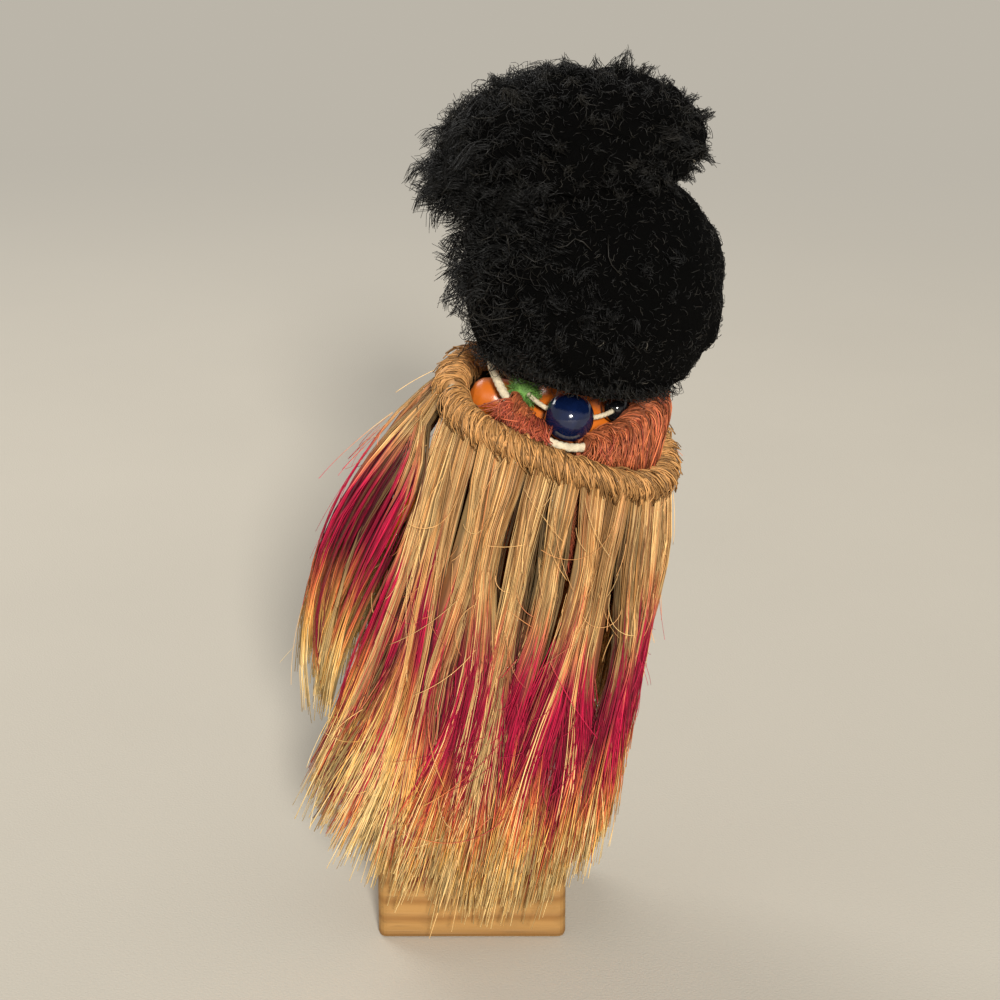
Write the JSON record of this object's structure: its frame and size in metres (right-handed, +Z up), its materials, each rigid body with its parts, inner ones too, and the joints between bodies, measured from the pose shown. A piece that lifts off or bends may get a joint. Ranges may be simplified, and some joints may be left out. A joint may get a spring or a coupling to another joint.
{
  "type": "doll",
  "caption": "Jointed hard plastic doll with sleep eyes, a frizzy black wig with a top knot, a bead necklace and a dyed plant-fibre fringe cape, nailed to a wooden block.",
  "frame": {"origin": "centre of the block's flat underside", "axes": "+Z up, the doll faces -Y, +X is the doll's left; the doll leans 11.8 degrees towards -X"},
  "size_m": [0.0824, 0.0532, 0.1772],
  "materials": {
    "pine": "sanded pine, unvarnished",
    "steel": "plain wire and nail steel",
    "skin": "orange-brown hard plastic, satin gloss",
    "elastic": "pale rubber cord",
    "eye": "white eye with a painted iris and a skin-coloured lid",
    "weight": "dull cast weight",
    "felt": "black felt",
    "hair": "black frizzy fibre",
    "cotton": "twisted undyed cotton",
    "blue_bead": "glossy navy blue",
    "black_bead": "glossy black",
    "green_bead": "flocked green",
    "fibre": "combed plant fibre, dyed tan, magenta and straw along its length",
    "coral_fibre": "combed plant fibre, dyed coral"
  },
  "bodies": {
    "body": {"base_block": "pine", "left_foot_nail": "steel", "right_foot_nail": "steel", "body_front": "skin", "body_back": "skin", "arm_elastic": "elastic", "necklace_string": "cotton", "bead_1": "blue_bead", "bead_2": "black_bead", "bead_3": "green_bead", "bead_4": "blue_bead", "bead_5": "black_bead", "bead_6": "green_bead", "cape_cord": "cotton", "back_hank_1": "fibre", "back_hank_2": "fibre", "back_hank_3": "fibre", "back_hank_4": "fibre", "back_hank_5": "fibre", "back_hank_6": "fibre", "back_hank_7": "fibre", "back_hank_8": "fibre", "back_hank_9": "fibre", "back_hank_10": "fibre", "back_hank_11": "fibre", "back_hank_12": "fibre", "left_hank_1": "fibre", "left_hank_2": "fibre", "left_hank_3": "fibre", "left_hank_4": "fibre", "left_hank_5": "fibre", "left_hank_6": "fibre", "right_hank_1": "fibre", "right_hank_2": "fibre", "right_hank_3": "fibre", "right_hank_4": "fibre", "right_hank_5": "fibre", "cape_knot": "cotton", "inner_cord": "cotton", "inner_fringe_front": "coral_fibre", "inner_fringe_right": "coral_fibre", "inner_fringe_left": "coral_fibre", "inner_wrap_left": "coral_fibre", "inner_wrap_right": "coral_fibre"},
    "head": {"neck_spool": "steel", "head_front": "skin", "head_back": "skin", "eye_bracket": "steel", "wig_cap": "felt", "back_hair": "hair", "top_knot": "hair"},
    "eyes": {"left_eye": "eye", "right_eye": "eye", "eye_rocker": "steel", "eye_weight": "weight"},
    "left_arm": {"left_arm": "skin"},
    "right_arm": {"right_arm": "skin"}
  },
  "joints": [
    {"name": "head_turn", "type": "hinge", "parent": "body", "child": "head", "pos_m": [-0.02004, 0, 0.11293], "axis": [-0.2045, 0, 0.9789], "range_deg": [-60, 60]},
    {"name": "eyes_close", "type": "hinge", "parent": "head", "child": "eyes", "pos_m": [-0.02432, -0.01275, 0.13343], "axis": [0.9789, 0, 0.2045], "range_deg": [0, 60]},
    {"name": "left_arm_swing", "type": "hinge", "parent": "body", "child": "left_arm", "pos_m": [-0.01851, 0, 0.10559], "axis": [0.9789, 0, 0.2045], "range_deg": [-18, 12]},
    {"name": "right_arm_swing", "type": "hinge", "parent": "body", "child": "right_arm", "pos_m": [-0.01851, 0, 0.10559], "axis": [0.9789, 0, 0.2045], "range_deg": [-18, 24]}
  ]
}
